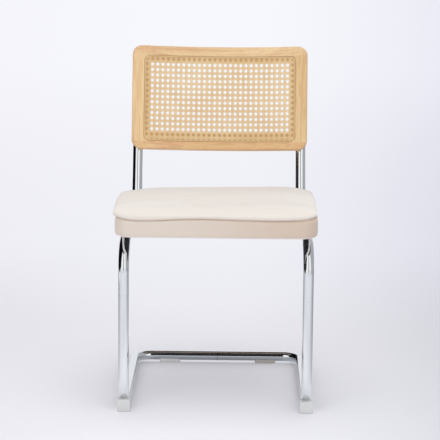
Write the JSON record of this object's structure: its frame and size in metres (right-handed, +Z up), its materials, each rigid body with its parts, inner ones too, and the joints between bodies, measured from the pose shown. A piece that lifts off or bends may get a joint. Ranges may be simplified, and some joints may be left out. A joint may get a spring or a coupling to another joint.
{
  "type": "cantilever dining chair",
  "caption": "Cantilever dining chair with a bent chromed tube frame, a boxed upholstered seat and a curved wooden back panel filled with woven cane.",
  "frame": {"origin": "on the floor under the middle of the chair's bounding box", "axes": "+Z up; the sitter faces -Y, so the back panel is towards +Y; +X is the right side of the picture"},
  "size_m": [0.478, 0.5568, 0.8306],
  "materials": {
    "tube": "polished chromed steel tube",
    "fastener": "bright zinc-plated steel",
    "insert": "turned brass",
    "plug": "turned steel",
    "collar": "polished chromed steel",
    "glide": "clear, slightly milky moulded plastic",
    "black_plastic": "black moulded plastic",
    "board": "raw plywood",
    "foam": "open cell foam block",
    "cover": "cream short-pile velvet",
    "dust_cloth": "thin black non-woven cloth",
    "back_wood": "pale bleached beech, satin lacquer",
    "tenon_wood": "raw beech",
    "cane": "woven natural cane",
    "spline": "split reed"
  },
  "bodies": {
    "root": {"base_tube_left": "tube", "base_tube_right": "tube", "upper_tube_left": "tube", "upper_tube_right": "tube", "glide_front_left": "glide", "glide_front_right": "glide", "glide_rear_left": "glide", "glide_rear_right": "glide", "leg_plugs": "collar", "bar_plug": "plug", "upright_end_caps": "black_plastic", "seat_saddles": "black_plastic", "seat_bolts": "fastener", "seat_nuts": "insert", "seat_board": "board", "seat_foam": "foam", "seat_cover_top": "cover", "seat_cover_band": "cover", "seat_seam": "cover", "seat_dust_cover": "dust_cloth", "back_rail_top": "back_wood", "back_rail_bottom": "back_wood", "back_stile_left": "back_wood", "back_stile_right": "back_wood", "back_tenons": "tenon_wood", "back_cane": "cane", "back_cane_spline": "spline", "back_bolts": "fastener", "back_inserts": "insert"}
  },
  "joints": []
}
